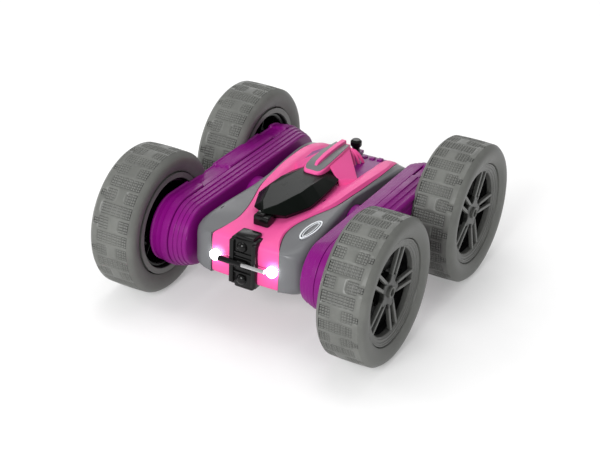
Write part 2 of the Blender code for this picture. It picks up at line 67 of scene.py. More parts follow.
# Where a wheel's finish changes, with the painted shade in the tread's grooves and in the rim's barrel:
# reaches are from the axle, the others out along it from the wheel's middle.
TREAD_HALF = 9.9
TREAD_REACH = 34.7
GROOVE_SHADE_REACH = (35.3, 35.62)
BARREL_SHADE_REACH = 22.9
SPOKE_BACK = 5.75
BORE_REACH, HUB_REACH = 2.95, 8.8


# Finishes -----------------------------------------------------------------------------------------

class Wire:
    """An output of a node. Arithmetic on it adds Math nodes."""

    def __init__(self, socket):
        self.socket = socket

    def math(self, operation, first, second=None):
        node = self.socket.node.id_data.nodes.new("ShaderNodeMath")
        node.operation = operation
        for slot, value in zip(node.inputs, (first, second)):
            feed(slot, value)
        return Wire(node.outputs[0])

    def __add__(self, other):
        return self.math("ADD", self, other)

    def __sub__(self, other):
        return self.math("SUBTRACT", self, other)

    def __rsub__(self, other):
        return self.math("SUBTRACT", other, self)

    def __mul__(self, other):
        return self.math("MULTIPLY", self, other)

    def __gt__(self, other):
        return self.math("GREATER_THAN", self, other)

    def __lt__(self, other):
        return self.math("LESS_THAN", self, other)

    def size(self):
        return self.math("ABSOLUTE", self)

    def root(self):
        return self.math("SQRT", self)

    def between(self, low, high):
        """0 below low, 1 above high, and smooth between."""
        node = self.socket.node.id_data.nodes.new("ShaderNodeMapRange")
        node.interpolation_type = "SMOOTHSTEP"
        for slot, value in zip(node.inputs, (self, low, high)):
            feed(slot, value)
        return Wire(node.outputs[0])

    __radd__ = __add__
    __rmul__ = __mul__


def feed(slot, value):
    if isinstance(value, Wire):
        slot.id_data.links.new(value.socket, slot)
    elif value is not None:
        slot.default_value = value


class Finish:
    """A material whose nodes are added one call at a time around its Principled shader."""

    def __init__(self, name):
        self.material = bpy.data.materials.new(name)
        self.material.use_nodes = True
        self.tree = self.material.node_tree
        self.shader = self.tree.nodes["Principled BSDF"]
        self.place = self.node("ShaderNodeTexCoord", out="Object")

    def axis(self, letter):
        """One coordinate of the object, in metres."""
        return self.node("ShaderNodeSeparateXYZ", out="XYZ".index(letter), Vector=self.place)

    def from_wheel(self):
        """How far a point is from the nearest wheel's axle, and how far out along the axle, both in mm."""
        y = self.axis("Y").size() * 1000 - abs(WHEEL.y)
        z = self.axis("Z") * 1000 - MID_Z
        return (y * y + z * z).root(), self.axis("X").size() * 1000 - WHEEL.x

    def node(self, kind, settings=(), out=0, **sockets):
        node = self.tree.nodes.new(kind)
        for key, value in dict(settings).items():
            setattr(node, key, value)
        for key, value in sockets.items():
            feed(node.inputs[key.replace("_", " ")], value)
        return Wire(node.outputs[out])

    def noise(self, scale, detail=2.0, rough=0.5, place=None):
        return self.node("ShaderNodeTexNoise", Vector=place or self.place, Scale=scale, Detail=detail,
                         Roughness=rough)

    def stretched(self, x, y, z):
        return self.node("ShaderNodeMapping", Vector=self.place, Scale=(x, y, z))

    def mix(self, mask, first, second):
        node = self.tree.nodes.new("ShaderNodeMix")
        node.data_type = "RGBA"
        for slot, value in ((0, mask), (6, opaque(first)), (7, opaque(second))):
            feed(node.inputs[slot], value)
        return Wire(node.outputs[2])

    def bump(self, height, distance, strength):
        return self.node("ShaderNodeBump", Height=height, Distance=distance, Strength=strength)

    def set(self, **sockets):
        for key, value in sockets.items():
            feed(self.shader.inputs[key.replace("_", " ")], value)
        return self.material


def opaque(colour):
    return (*colour, 1.0) if isinstance(colour, tuple) else colour


def shade(colour, factor):
    return tuple(min(1.0, c * factor) for c in colour)


def moulded(name, colour, rough, grain=1.0, coat=0.25, gloss=0.5):
    """Injection-moulded plastic: flow marks, a faint orange peel, handling smudges and pale specks."""
    f = Finish(name)
    flow = f.noise(28, 3, 0.55, f.stretched(1, 0.35, 1)).between(0.35, 0.7)
    smudge = f.noise(75, 4, 0.6).between(0.42, 0.68)
    speck = f.noise(2600, 1).between(0.72, 0.78)
    base = f.mix(flow, shade(colour, 0.93), shade(colour, 1.06))
    base = f.mix(speck * 0.25, base, shade(colour, 1.5))
    peel = f.noise(900, 2) * 0.7 + f.noise(3200, 1) * 0.3
    return f.set(Base_Color=base, Roughness=smudge * 0.1 + speck * 0.1 + rough,
                 Normal=f.bump(peel, 0.00004 * grain, 0.5), Coat_Weight=coat,
                 Coat_Roughness=0.12, Specular_IOR_Level=gloss)


def rubber(name, colour):
    """Matt soft rubber with mould bloom, fine pores and dust, and painted shade that darkens the grooves of
    its tread.
    """
    f = Finish(name)
    bloom = f.noise(60, 4, 0.6).between(0.4, 0.7)
    pores = f.noise(2400, 2)
    dust = f.noise(420, 3, 0.7).between(0.55, 0.72)
    base = f.mix(bloom, shade(colour, 0.88), shade(colour, 1.08))
    base = f.mix(dust * 0.3, base, shade(colour, 1.35))
    reach, out = f.from_wheel()
    # Painted shade: the grooves between the tread's studs are darkened almost to black.
    groove = (1 - reach.between(*GROOVE_SHADE_REACH)) * (reach > TREAD_REACH) * (out.size() < TREAD_HALF)
    base = f.mix(groove * 0.95, base, shade(colour, 0.06))
    return f.set(Base_Color=base, Roughness=bloom * 0.1 + dust * 0.1 + 0.4,
                 Normal=f.bump(pores, 0.00005, 0.5), Specular_IOR_Level=0.4)


def rim_finish(name, colour):
    """Satin moulding whose barrel is painted black behind the spokes as painted shade, and whose hub is darker
    than its lip.
    """
    f = Finish(name)
    reach, out = f.from_wheel()
    barrel_shade = (reach < BARREL_SHADE_REACH) * (out < SPOKE_BACK)
    hub = (reach < HUB_REACH) * (reach > BORE_REACH) * (out > SPOKE_BACK)
    smudge = f.noise(75, 4, 0.6).between(0.42, 0.68)
    wear = f.noise(350, 3, 0.6).between(0.55, 0.75)
    base = f.mix(smudge, shade(colour, 0.9), shade(colour, 1.1))
    base = f.mix(wear * 0.3, base, shade(colour, 1.4))
    # Painted shade: the inside of the barrel behind the spokes is painted black.
    base = f.mix(barrel_shade, base, (0.006, 0.006, 0.006))
    base = f.mix(hub * 0.7, base, (0.02, 0.021, 0.019))
    return f.set(Base_Color=base, Roughness=smudge * 0.12 + wear * 0.1 + 0.32,
                 Normal=f.bump(f.noise(1400, 2), 0.00003, 0.5), Specular_IOR_Level=0.4)


def drawn_metal(name, colour, rough=0.28):
    """Metal with fine lines along one axis and a dull stain here and there."""
    f = Finish(name)
    lines = f.noise(1800, 2, 0.6, f.stretched(0.02, 1, 1))
    stain = f.noise(160, 3).between(0.45, 0.75)
    base = f.mix(stain * 0.5 + lines * 0.3, colour, shade(colour, 0.62))
    return f.set(Base_Color=base, Metallic=1.0, Roughness=lines * 0.16 + stain * 0.1 + rough,
                 Normal=f.bump(lines, 0.00002, 0.4))


def smoked(name):
    """Satin smoked plastic with a soft green cast and hair scratches."""
    f = Finish(name)
    haze = f.noise(45, 3).between(0.4, 0.75)
    scratch = f.noise(1500, 1, 0.5, f.stretched(1, 0.05, 1)).between(0.7, 0.74)
    base = f.mix(haze, (0.003, 0.0045, 0.0035), (0.006, 0.008, 0.0065))
    return f.set(Base_Color=base, Roughness=haze * 0.07 + scratch * 0.15 + 0.26, Specular_IOR_Level=0.05,
                 Normal=f.bump(f.noise(500, 2), 0.00002, 0.5))


def glowing(name):
    """A clear lens lit by the diode behind it, a little uneven."""
    f = Finish(name)
    patches = f.noise(1800, 1).between(0.3, 0.7)
    glow = f.mix(patches * 0.3, (1.0, 1.0, 1.0), (0.86, 0.93, 1.0))
    return f.set(Base_Color=glow, Roughness=patches * 0.08 + 0.06, Emission_Color=glow,
                 Emission_Strength=8.0)


def board(name):
    """Green board with paler tracks under the lacquer."""
    f = Finish(name)
    tracks = f.node("ShaderNodeTexBrick", out="Fac", Vector=f.place, Scale=260.0, Mortar_Size=0.03)
    base = f.mix(tracks, (0.012, 0.12, 0.035), (0.08, 0.3, 0.09))
    return f.set(Base_Color=base, Roughness=f.noise(300) * 0.2 + 0.3, Normal=f.bump(tracks, 0.00003, 0.5))


PINK = moulded("pink moulding", (0.76, 0.084, 0.3), 0.4, 1.0, 0.0, 0.28)
PURPLE = moulded("purple moulding", (0.175, 0.002, 0.15), 0.33, 1.0, 0.0, 0.2)
GREY = moulded("grey moulding", (0.125, 0.128, 0.134), 0.34, 0.6, 0.05, 0.35)
BLACK = moulded("black moulding", (0.004, 0.004, 0.004), 0.16, 1.2, 0.0, 0.22)
RIM = rim_finish("rim moulding", (0.12, 0.122, 0.115))
ACETAL = moulded("gear acetal", (0.72, 0.7, 0.62), 0.42, 1.5, 0.0)
WRAP = moulded("cell wrap", (0.02, 0.07, 0.35), 0.22, 2.0, 0.4)
SILVER = moulded("emblem silver", (0.7, 0.73, 0.76), 0.28, 0.6)
TYRE = rubber("tyre rubber", (0.116, 0.119, 0.11))
CANOPY = smoked("smoked canopy")
STEEL = drawn_metal("drawn steel", (0.35, 0.35, 0.36), 0.36)
BRASS = drawn_metal("turned brass", (0.62, 0.42, 0.14))
BRIGHT = drawn_metal("bright bar", (0.75, 0.75, 0.76), 0.08)
LAMP = glowing("headlight lens")
BOARD = board("circuit board lacquer")


# Modelling helpers --------------------------------------------------------------------------------

def at(table, y):
    """A smooth (Hermite) curve through a table of (y, value), read at y."""
    if y <= table[0][0]:
        return table[0][1]
    if y >= table[-1][0]:
        return table[-1][1]
    k = next(i for i in range(len(table) - 1) if y <= table[i + 1][0])
    (y0, v0), (y1, v1) = table[k], table[k + 1]
    before, after = table[max(k - 1, 0)], table[min(k + 2, len(table) - 1)]
    m0 = (v1 - before[1]) / (y1 - before[0]) * (y1 - y0)
    m1 = (after[1] - v0) / (after[0] - y0) * (y1 - y0)
    t = (y - y0) / (y1 - y0)
    return (((2 * t - 3) * t * t + 1) * v0 + ((t - 2) * t + 1) * t * m0
            + (3 - 2 * t) * t * t * v1 + (t - 1) * t * t * m1)


def spread(low, high, count):
    return [low + (high - low) * k / (count - 1) for k in range(count)]


def world(x, y, h):
    return Vector((x, y, MID_Z + h)) * MM


def added(primitive, **options):
    """Adds one primitive with nothing else selected and leaves it in edit mode, selected all over."""
    bpy.ops.object.select_all(action="DESELECT")
    primitive(**options)
    bpy.ops.object.mode_set(mode="EDIT")
    bpy.ops.mesh.select_mode(type="VERT")
    bpy.ops.mesh.select_all(action="SELECT")
    return bpy.context.object


def pick(obj, test, kind="FACE"):
    """Selects only the faces or edges that pass the test.

    The test gets the centre in mm, counted from the axles' height, and the normal or the edge's direction.
    """
    bpy.ops.mesh.select_mode(type=kind)
    bpy.ops.mesh.select_all(action="DESELECT")
    shape = bmesh.from_edit_mesh(obj.data)
    for item in shape.faces if kind == "FACE" else shape.edges:
        if kind == "FACE":
            middle, way = item.calc_center_median(), item.normal
        else:
            a, b = (v.co for v in item.verts)
            middle, way = (a + b) / 2, (b - a).normalized()
        if test(middle / MM - Vector((0, 0, MID_Z)), way):
            item.select = True
    shape.select_flush_mode()
    bmesh.update_edit_mesh(obj.data)


def closed(obj, name, angle=32):
    """Leaves edit mode with doubles merged and faces outward, and puts the place into the mesh."""
    bpy.ops.mesh.select_all(action="SELECT")
    bpy.ops.mesh.remove_doubles(threshold=0.00001)
    bpy.ops.mesh.normals_make_consistent(inside=False)
    bpy.ops.object.mode_set(mode="OBJECT")
    bpy.ops.object.transform_apply(location=True, rotation=True, scale=True)
    obj.name = obj.data.name = name
    bpy.ops.object.shade_smooth_by_angle(angle=math.radians(angle))
    return obj


def modified(obj, kind, angle=32, **settings):
    """Adds one modifier, applies it and smooths again."""
    bpy.ops.object.select_all(action="DESELECT")
    obj.select_set(True)
    bpy.context.view_layer.objects.active = obj
    modifier = obj.modifiers.new(kind.lower(), kind)
    for key, value in settings.items():
        setattr(modifier, key, value)
    bpy.ops.object.modifier_apply(modifier=modifier.name)
    bpy.ops.object.shade_smooth_by_angle(angle=math.radians(angle))
    return obj


def rounded(obj, width, segments=2, limit=28, angle=40):
    return modified(obj, "BEVEL", angle, width=width * MM, segments=segments, limit_method="ANGLE",
                    angle_limit=math.radians(limit), harden_normals=False)


def joined(name, *objects):
    bpy.ops.object.select_all(action="DESELECT")
    for obj in objects:
        obj.select_set(True)
    bpy.context.view_layer.objects.active = objects[0]
    bpy.ops.object.join()
    objects[0].name = objects[0].data.name = name
    return objects[0]


def copied(obj, name, matrix):
    """A copy with its own mesh, moved, turned or mirrored in its mesh."""
    twin = obj.copy()
    twin.data = obj.data.copy()
    twin.name = twin.data.name = name
    twin.data.transform(matrix)
    if matrix.determinant() < 0:
        twin.data.flip_normals()
    bpy.context.scene.collection.objects.link(twin)
    return twin


def turned(name, profile, centre, steps):
    """A profile of (x outboard, radius) in mm, drawn point by point and spun about X through centre."""
    cx, cy, cz = centre
    points = [Vector((cx + x, cy, cz + r)) * MM for x, r in profile]
    obj = added(bpy.ops.mesh.primitive_plane_add, size=MM, location=points[0])
    bpy.ops.mesh.merge(type="CENTER")
    for here, there in zip(points, points[1:]):
        bpy.ops.mesh.extrude_region_move(TRANSFORM_OT_translate={"value": there - here})
    bpy.ops.mesh.select_all(action="SELECT")
    bpy.ops.mesh.spin(steps=steps, angle=2 * math.pi, center=Vector(centre) * MM, axis=(1, 0, 0))
    return closed(obj, name)


def sheet_of(name, rows, ring=False, ends=False):
    """A grid primitive shaped row by row. ring closes each row on itself, ends fills the first and last."""
    across = len(rows[0]) + ring
    obj = added(bpy.ops.mesh.primitive_grid_add, x_subdivisions=across - 1,
                y_subdivisions=len(rows) - 1, size=MM)
    bpy.ops.object.mode_set(mode="OBJECT")
    flat = [p for row in rows for p in (list(row) + [row[0]] if ring else row)]
    for vertex, place in zip(obj.data.vertices, flat):
        vertex.co = place
    bpy.ops.object.mode_set(mode="EDIT")
    bpy.ops.mesh.select_all(action="SELECT")
    bpy.ops.mesh.remove_doubles(threshold=0.00001)
    if ends:
        bpy.ops.mesh.fill_holes(sides=0)
    return closed(obj, name)


def stack(*steps):
    """Insets the selected face again and again by (how far in, how far out along its normal) in mm."""
    for inward, outward in steps:
        bpy.ops.mesh.inset(thickness=abs(inward) * MM, depth=outward * MM, use_outset=inward < 0)


def box_of(name, low, high, bevel=0.0, segments=2):
    """A block between two corners in mm from the middle of the car, with its edges rounded."""
    middle, size = [(a + b) / 2 for a, b in zip(low, high)], [b - a for a, b in zip(low, high)]
    obj = added(bpy.ops.mesh.primitive_cube_add, size=MM, location=world(*middle), scale=size)
    if bevel:
        bpy.ops.object.mode_set(mode="OBJECT")
        bpy.ops.object.transform_apply(location=True, rotation=True, scale=True)
        bpy.ops.object.mode_set(mode="EDIT")
        bpy.ops.mesh.select_all(action="SELECT")
        bpy.ops.mesh.bevel(offset=bevel * MM, segments=segments)
    return closed(obj, name)


def shown(obj, body, finish, slot, *nodes):
    """Gives a finished piece its material and its body, and hides the CAD nodes it stands for. Its slot is not
    used.
    """
    obj.data.materials.clear()
    obj.data.materials.append(finish)
    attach(obj, body)
    if nodes:
        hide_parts(*nodes)
    return obj


# Wheels -------------------------------------------------------------------------------------------

TREAD_RADIUS = 35.98
TREAD_STEPS = 160
STUD = 1.4
STUD_LINES = 5
SPOKES = 5
SPOKE_TURN = math.radians(22)


def tyre_shape():
    """A fat tyre with round shoulders and clusters of small studs, parted by grooves and smooth patches."""
    side = [(10.2, 26.05), (10.9, 26.3), (11.3, 27.1), (12.0, 28.5), (12.4, 30.0), (12.5, 31.4),
            (12.35, 32.6), (11.95, 33.7), (11.3, 34.5), (10.6, 35.1)]
    tread = [(STUD * k, TREAD_RADIUS - 0.003 * (STUD * k) ** 2) for k in range(7, -8, -1)]
    profile = side + tread + [(-x, r) for x, r in reversed(side)] + [side[0]]
    obj = turned("tyre", profile, WHEEL, TREAD_STEPS)
    bpy.ops.object.mode_set(mode="EDIT")

    def studded(parity):
        """Every second cluster, so that clusters that meet at a corner are raised apart."""
        def test(middle, way):
            out = middle - Vector((WHEEL.x, WHEEL.y, 0))
            if abs(out.x) > STUD * 7 or math.hypot(out.y, out.z) < 34.9:
                return False
            cell = int(out.x / STUD + 7) // 2
            step = int(math.atan2(out.y, out.z) / (2 * math.pi) * TREAD_STEPS + TREAD_STEPS)
            row, line = divmod(step, STUD_LINES)
            if line == STUD_LINES - 1 or (row + cell) % 2 != parity:
                return False
            if row % 2:
                return cell < 6
            return cell not in (2, 3) and (cell < 6 or line in (1, 2))
        return test

    for parity in (0, 1):
        pick(obj, studded(parity))
        bpy.ops.mesh.inset(thickness=0.2 * MM)
        bpy.ops.transform.shrink_fatten(value=-0.65 * MM)
        bpy.ops.mesh.inset(thickness=0.22 * MM, depth=0.65 * MM, use_individual=True)
    bpy.ops.object.mode_set(mode="OBJECT")
    return obj


def spoke(side):
    """One slim spoke with chamfered edges that leans away from its twin and dips towards the hub."""
    obj = added(bpy.ops.mesh.primitive_cube_add, size=MM, scale=(2.0, 1.8, 16.4),
                location=Vector((WHEEL.x + 8.0, WHEEL.y + 2.75 * side, WHEEL.z + 14.2)) * MM)
    bpy.ops.object.mode_set(mode="OBJECT")
    bpy.ops.object.transform_apply(location=True, rotation=True, scale=True)
    bpy.ops.object.mode_set(mode="EDIT")
    pick(obj, lambda middle, way: way.z < -0.9)
    bpy.ops.transform.translate(value=(-0.8 * MM, -0.75 * side * MM, 0))
    closed(obj, "spoke")
    return rounded(obj, 0.45, 2)


def rim_shape():
    """Barrel and stepped lip, five pairs of spokes and a five-lobed hub with a raised ring on it."""
    lip = [(10.3, 25.7), (10.3, 25.1), (9.9, 24.7), (9.9, 24.1), (9.5, 23.8), (9.5, 22.6), (9.1, 22.3),
           (9.1, 21.9), (8.6, 21.4), (6.2, 21.4), (5.8, 21.8), (5.8, 22.6), (-10.9, 22.6), (-11.5, 23.1),
           (-11.5, 25.7), (10.3, 25.7)]
    parts = [turned("lip", lip, WHEEL, 96)]
    hub = added(bpy.ops.mesh.primitive_cylinder_add, vertices=80, radius=MM, depth=4.2 * MM,
                location=Vector((WHEEL.x + 5.6, WHEEL.y, WHEEL.z)) * MM, rotation=(0, math.pi / 2, 0))
    bpy.ops.object.mode_set(mode="OBJECT")
    bpy.ops.object.transform_apply(location=True, rotation=True, scale=True)
    for vertex in hub.data.vertices:
        y, z = vertex.co.y - WHEEL.y * MM, vertex.co.z - WHEEL.z * MM
        reach = 7.3 + 1.2 * math.cos(SPOKES * (math.atan2(y, z) - SPOKE_TURN))
        vertex.co.y, vertex.co.z = WHEEL.y * MM + y * reach, WHEEL.z * MM + z * reach
    bpy.ops.object.mode_set(mode="EDIT")
    pick(hub, lambda middle, way: way.x > 0.9)
    stack((0.4, 0.35))
    closed(hub, "hub", 25)
    bore = [(6.5, 3.0), (9.0, 2.9), (9.3, 2.6), (9.3, 2.1), (9.0, 1.9), (6.5, 1.9), (6.5, 3.0)]
    ring = turned("ring", bore, WHEEL, 48)
    centre = Matrix.Translation(WHEEL * MM)
    for side in (1, -1):
        bar = spoke(side)
        for k in range(SPOKES):
            turn = Matrix.Rotation(2 * math.pi * k / SPOKES - SPOKE_TURN, 4, "X")
            turn = centre @ turn @ centre.inverted()
            parts.append(copied(bar, "spoke", turn))
        bpy.data.objects.remove(bar)
    return joined("rim", *parts, hub, ring)


def wheel_centre_shape():
    """The black dish at the back of the wheel, with radial ribs and a stiffening ring round its hub."""
    profile = [(3.0, 22.1), (3.0, 18.0), (2.4, 17.4), (2.4, 8.5), (3.0, 7.9), (3.0, 1.7), (-7.0, 1.7),
               (-7.0, 4.6), (-6.4, 5.4), (0.8, 5.9), (0.8, 12.6), (-2.4, 12.7), (-2.4, 13.9), (0.8, 14.0),
               (0.8, 20.3), (-8.9, 20.6), (-9.5, 21.2), (-9.5, 22.1), (3.0, 22.1)]
    dish = turned("dish", profile, WHEEL, 72)
    rib = box_of("rib", (WHEEL.x - 3.4, WHEEL.y - 0.55, 5.0), (WHEEL.x + 1.2, WHEEL.y + 0.55, 20.8), 0.2)
    centre = Matrix.Translation(WHEEL * MM)
    turns = [Matrix.Rotation(math.pi * k / 6, 4, "X") for k in range(12)]
    ribs = [copied(rib, "rib", centre @ turn @ centre.inverted()) for turn in turns]
    bpy.data.objects.remove(rib)
    return joined("dish", dish, *ribs)


def make_wheels():
    rear = Matrix.Translation((0, -2 * WHEEL.y * MM, 0))
    across = Matrix.Rotation(math.pi, 4, "Z")
    places = {"left_front": Matrix(), "left_rear": rear, "right_rear": across, "right_front": across @ rear}
    for shape, word, finish, slot in ((tyre_shape(), "tyre", TYRE, "tyre_rubber"),
                                      (rim_shape(), "rim", RIM, "rim_plastic"),
                                      (wheel_centre_shape(), "wheel_centre", BLACK, "black_plastic")):
        for label, matrix in places.items():
            twin = copied(shape, f"{label}_{word}_fine", matrix)
            shown(twin, f"{label}_wheel", finish, slot, f"{label}_{word}")
        bpy.data.objects.remove(shape)


# Arms ---------------------------------------------------------------------------------------------

ARM_REACH = 66.0
ARM_RADIUS = 18.5
LOWERED = ((-33, -8), (34, 47))
LOWERED_BY = 1.1
LOWERED_EDGE = 0.5


def stadium_slab(name, x0, x1, radius):
    """A slab whose two ends are half circles, made by rounding four edges of a block."""
    reach = ARM_REACH - ARM_RADIUS + radius
    obj = added(bpy.ops.mesh.primitive_cube_add, size=MM, location=world((x0 + x1) / 2, 0, 0),
                scale=(x1 - x0, 2 * reach, 2 * radius))
    bpy.ops.object.mode_set(mode="OBJECT")
    bpy.ops.object.transform_apply(location=True, rotation=True, scale=True)
    bpy.ops.object.mode_set(mode="EDIT")
    pick(obj, lambda middle, way: abs(way.x) > 0.9, "EDGE")
    bpy.ops.mesh.bevel(offset=radius * MM * 0.9999, segments=20)
    bpy.ops.mesh.remove_doubles(threshold=0.00001)
    return obj


def outer_shell_shape():
    """The arm's wheel side, as a solid block: bands parted by fine grooves, and two lower stretches.

    It has no bores and no room for the gears.
    """
    obj = stadium_slab("outer", 40.4, 43.4, 18.2)
    pick(obj, lambda middle, way: way.x > 0.9)
    groove = (0.25, 0.25), (0.3, 0.0), (-0.15, 0.25)
    stack(*groove, (0.0, 2.4), *groove, (0.0, 2.2))
    stack((-0.2, 0.4), (0.1, 0.4), (0.45, 0.6), (0.8, 0.35), (0.9, 0.0))
    stack((0.35, -0.35), (2.2, 0.0), (0.4, 0.4), (2.0, 0.0))
    pick(obj, lambda middle, way: way.x < -0.9)
    stack((0.35, 0.35), (0.35, 0.1))
    closed(obj, "outer")
    bpy.ops.object.mode_set(mode="EDIT")
    for low, high in LOWERED:
        for y in (low, low + LOWERED_EDGE, high - LOWERED_EDGE, high):
            bpy.ops.mesh.select_all(action="SELECT")
            bpy.ops.mesh.bisect(plane_co=world(0, y, 0), plane_no=(0, 1, 0))
    closed(obj, "outer")
    for vertex in obj.data.vertices:
        y, h = vertex.co.y / MM, vertex.co.z - MID_Z * MM
        if abs(h) > 14.5 * MM and any(low + 0.4 < y < high - 0.4 for low, high in LOWERED):
            vertex.co.z -= math.copysign(LOWERED_BY * MM, h)
    return rounded(obj, 0.18, 2, 40)


def inner_shell_shape():
    """The arm's body side, as a solid block: terraces that step down to the body, and the boss it turns on."""
    obj = stadium_slab("inner", 37.3, 39.4, 17.5)
    pick(obj, lambda middle, way: way.x > 0.9)
    stack((0.2, 0.2), (0.5, 0.1))
    pick(obj, lambda middle, way: way.x < -0.9)
    tread = (0.2, 0.15), (0.4, 0.0)
    stack(*tread, (0.1, 1.9), *tread, (0.1, 1.9), *tread, (0.15, 1.4), (0.4, 0.4), (0.8, 0.25))
    closed(obj, "inner")
    boss = added(bpy.ops.mesh.primitive_cylinder_add, vertices=64, radius=11 * MM, depth=6.6 * MM,
                 location=world(28.3, 0, 0), rotation=(0, math.pi / 2, 0))
    closed(boss, "boss")
    boss = rounded(boss, 0.6, 3)
    return joined("inner", rounded(obj, 0.18, 2, 35), boss)


def make_arms():
    mirror = Matrix.Diagonal((-1, 1, 1, 1))
    for shape, word in ((outer_shell_shape(), "outer_shell"), (inner_shell_shape(), "inner_shell")):
        for side, matrix in (("left", Matrix()), ("right", mirror)):
            twin = copied(shape, f"{side}_arm_{word}_fine", matrix)
            shown(twin, f"{side}_arm", PURPLE, "purple_plastic", f"{side}_arm_{word}")
        bpy.data.objects.remove(shape)


# Body ---------------------------------------------------------------------------------------------

# Tables of (y, value) along the body: half widths end in X, heights in H, and the shoulder's radius in R. The
# border is where cover and panel meet, the centre is the hood's middle line, the crest the top of its rails.
SIDE_X = ((-60, 30.0), (-51, 29.4), (-36, 28.2), (-15, 26.0), (3, 24.5), (11, 25.3), (28, 26.9), (50, 29.2),
          (56, 28.0))
BORDER_X = ((-60, 18.4), (-52, 15.2), (-45, 13.6), (-36, 14.2), (-26, 16.6), (-11, 21.0), (3, 22.7),
            (16, 24.0), (37, 24.8), (50, 23.4), (56, 22.0))
BORDER_H = ((-60, 10.5), (-45, 12.8), (-36, 13.7), (-11, 14.0), (37, 14.4), (50, 12.6), (56, 10.6))
CENTRE_H = ((-60, 10.5), (-55, 12.0), (-45, 13.2), (-36, 13.9), (20, 13.9), (37, 13.4), (50, 11.4), (56, 9.6))
CREST_H = ((-60, 10.5), (-52, 12.6), (-40, 14.1), (-20, 15.0), (-5, 15.8), (12, 16.4), (30, 15.9), (44, 14.7),
           (52, 12.7), (56, 11.0))
SHOULDER_H = ((-60, 10.0), (-58, 10.6), (-55, 11.6), (-50, 12.8), (-43, 13.4), (-15, 13.8), (3, 14.2),
              (37, 13.8), (50, 12.0), (56, 9.8))
SHOULDER_R = ((-60, 4.5), (-50, 4.0), (-36, 3.2), (-10, 2.6), (50, 2.4), (56, 2.0))

# The nose face's line from the middle up to the hood, as (height, y).
FRONT_FACE = ((0.2, -59.4), (2.0, -59.8), (5.0, -60.0), (8.2, -60.0), (9.6, -59.75), (10.3, -59.2))


def cover_shape():
    """The pink cover: a nose face that turns over into the hood, with a low rail along each side.

    Each row runs from the middle to the border, at shares of the half width. lifts go from centre to crest.
    """
    shares = (0, 0.22, 0.42, 0.56, 0.66, 0.74, 0.8, 0.88, 0.95, 1)
    lifts = (0, 0, 0, 0.06, 0.35, 0.85, 1.0, 1.0, 0.96, 0.7)
    rows = []
    for h, y in FRONT_FACE:
        half = at(BORDER_X, y) - GAP
        rows.append([(s * half, y + 0.5 * s ** 4, h) for s in shares])
    for y in (-57.5, *spread(-55, 55, 56), 55.8):
        half = at(BORDER_X, y) - GAP
        centre, crest, border = at(CENTRE_H, y), at(CREST_H, y), at(BORDER_H, y)
        row = [(s * half, y, centre + (crest - centre) * lift) for s, lift in zip(shares, lifts)]
        row[-1] = (half, y, border)
        rows.append(row)
    tail = rows[-1]
    rows += [[(x * 0.99, 56.0, 5.0) for x, y, h in tail], [(x * 0.99, 55.6, 0.2) for x, y, h in tail]]
    full = [[(-x, y, h) for x, y, h in reversed(row[1:])] + row for row in rows]
    obj = sheet_of("cover", [[world(*place) for place in row] for row in full])
    obj = modified(obj, "SOLIDIFY", thickness=1.3 * MM, offset=-1.0)
    return rounded(obj, 0.25, 2, 40)


def panel_rows():
    """Rows of the left grey panel, from the upper border over a round shoulder down to the lower border.

    The plan is (y on the border, x and y on the side): it rounds the nose and tail corners.
    """
    plan = [(-60.0, 18.5, -60.0), (-59.9, 21.5, -60.0), (-59.6, 24.0, -59.7), (-59.0, 26.2, -58.8),
            (-57.8, 28.0, -57.2), (-55.6, 29.1, -54.8)]
    plan += [(y, at(SIDE_X, y), y) for y in spread(-51.5, 50, 36)]
    plan += [(52.4, 29.0, 52.6), (54.2, 28.0, 54.6), (55.4, 26.0, 55.8), (55.9, 23.2, 56.0),
             (56.0, 22.2, 56.0)]
    rows = []
    for border_y, side_x, side_y in plan:
        border = Vector((at(BORDER_X, border_y), border_y, at(BORDER_H, border_y)))
        side = Vector((side_x, side_y, 0))
        flat = side - border
        flat.z = 0
        radius = min(at(SHOULDER_R, side_y), flat.length * 0.6)
        inward = -flat.normalized() if flat.length > 0.2 else Vector((0, 1, 0))
        top = at(SHOULDER_H, side_y)
        start = side + inward * radius + Vector((0, 0, top))
        upper = [border.lerp(start, t) for t in (0, 0.33, 0.67)]
        for k in range(6):
            turn = math.pi / 2 * k / 5
            drop = Vector((0, 0, top - radius * (1 - math.cos(turn))))
            upper.append(side + inward * radius * (1 - math.sin(turn)) + drop)
        upper += [side + Vector((0, 0, 0.5 * (top - radius)))]
        rows.append([tuple(p) for p in upper] + [(p.x, p.y, -p.z) for p in reversed(upper)])
    return rows


def panel_shape():
    """The left grey panel as a thin wall."""
    rows = [[world(*p) for p in row] for row in panel_rows()]
    obj = sheet_of("panel", rows)
    obj = modified(obj, "SOLIDIFY", thickness=1.2 * MM, offset=-1.0)
    return rounded(obj, 0.2, 2, 45)


def canopy_shape():
    """The smoked canopy: a broad top facet and steep side facets that meet in a nose over its foot."""
    foot = ((0, -38.5, 14.0), (7.4, -34.5, 14.0), (12.7, -21, 14.2), (12.4, -12, 14.4), (11.4, 3, 14.6),
            (9.8, 13, 15.0))
    shoulder = ((0, -44.8, 19.4), (8.6, -38, 17.4), (14.2, -24, 17.6), (14.2, -13, 17.8), (12.8, 5, 17.6),
                (10.4, 15.0, 17.2))
    ridge = ((0, -44.2, 20.8), (4.2, -37.5, 22.0), (8.2, -24, 23.4), (8.4, -12, 23.2), (7.2, 2, 20.9),
             (6.0, 15, 19.4))
    rings = []
    for ring in (foot, shoulder, ridge):
        left = [(-x, y, h) for x, y, h in reversed(ring[1:])]
        rings.append([world(*p) for p in (*ring, *left)])
    obj = sheet_of("canopy", rings, ring=True, ends=True)
    return rounded(obj, 0.35, 3, 8, 30)


